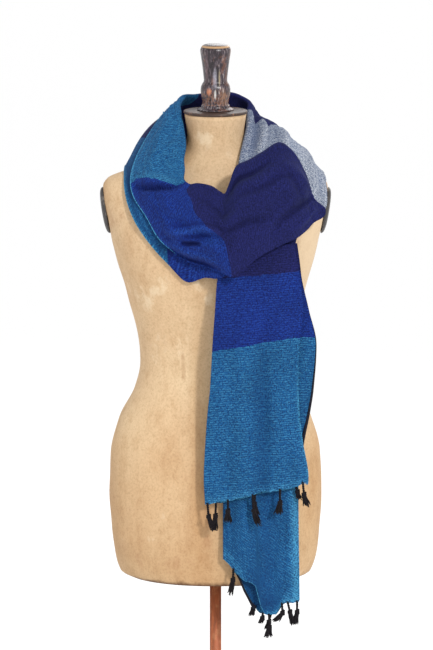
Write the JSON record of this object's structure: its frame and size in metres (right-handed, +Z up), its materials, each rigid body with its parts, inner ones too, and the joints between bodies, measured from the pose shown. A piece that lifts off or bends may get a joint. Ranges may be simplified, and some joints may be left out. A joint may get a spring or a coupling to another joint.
{
  "type": "scarf on a limbless dress form",
  "caption": "Long woven wool scarf with knotted tassels, wound once round the neck of a limbless dress form on a pole and round base.",
  "frame": {"origin": "centre of the base's underside, on the pole's axis, at floor level", "axes": "+Z up along the pole, -Y out of the front of the form, +X to the viewer's right in the picture"},
  "size_m": [0.4, 0.4, 1.3877],
  "materials": {
    "wool_grey_blue": "soft brushed wool",
    "wool_navy": "soft brushed wool",
    "wool_teal": "soft brushed wool, flecked",
    "wool_royal": "soft brushed wool",
    "tassel_yarn": "twisted yarn",
    "form_cover": "aged linen over papier mache",
    "plate_black": "worn dark paint",
    "dark_wood": "worn dark varnish",
    "pole_red_brown": "varnished"
  },
  "bodies": {
    "root": {"scarf_right_shoulder": "wool_grey_blue", "scarf_behind_neck": "wool_navy", "scarf_left_collar": "wool_teal", "scarf_chest_crossing": "wool_royal", "scarf_turned_end": "wool_navy", "scarf_front_tail": "wool_teal", "scarf_long_tail": "wool_teal", "tassel_front_1": "tassel_yarn", "tassel_front_2": "tassel_yarn", "tassel_front_3": "tassel_yarn", "tassel_front_4": "tassel_yarn", "tassel_front_5": "tassel_yarn", "tassel_front_6": "tassel_yarn", "tassel_front_7": "tassel_yarn", "tassel_front_8": "tassel_yarn", "tassel_long_1": "tassel_yarn", "tassel_long_2": "tassel_yarn", "tassel_long_3": "tassel_yarn", "tassel_long_4": "tassel_yarn", "tassel_long_5": "tassel_yarn", "tassel_long_6": "tassel_yarn", "tassel_long_7": "tassel_yarn", "tassel_long_8": "tassel_yarn", "dress_form": "form_cover", "armhole_plate_left": "plate_black", "armhole_plate_right": "plate_black", "neck_cap": "dark_wood", "finial": "dark_wood", "pole": "pole_red_brown", "base": "dark_wood"}
  },
  "joints": []
}
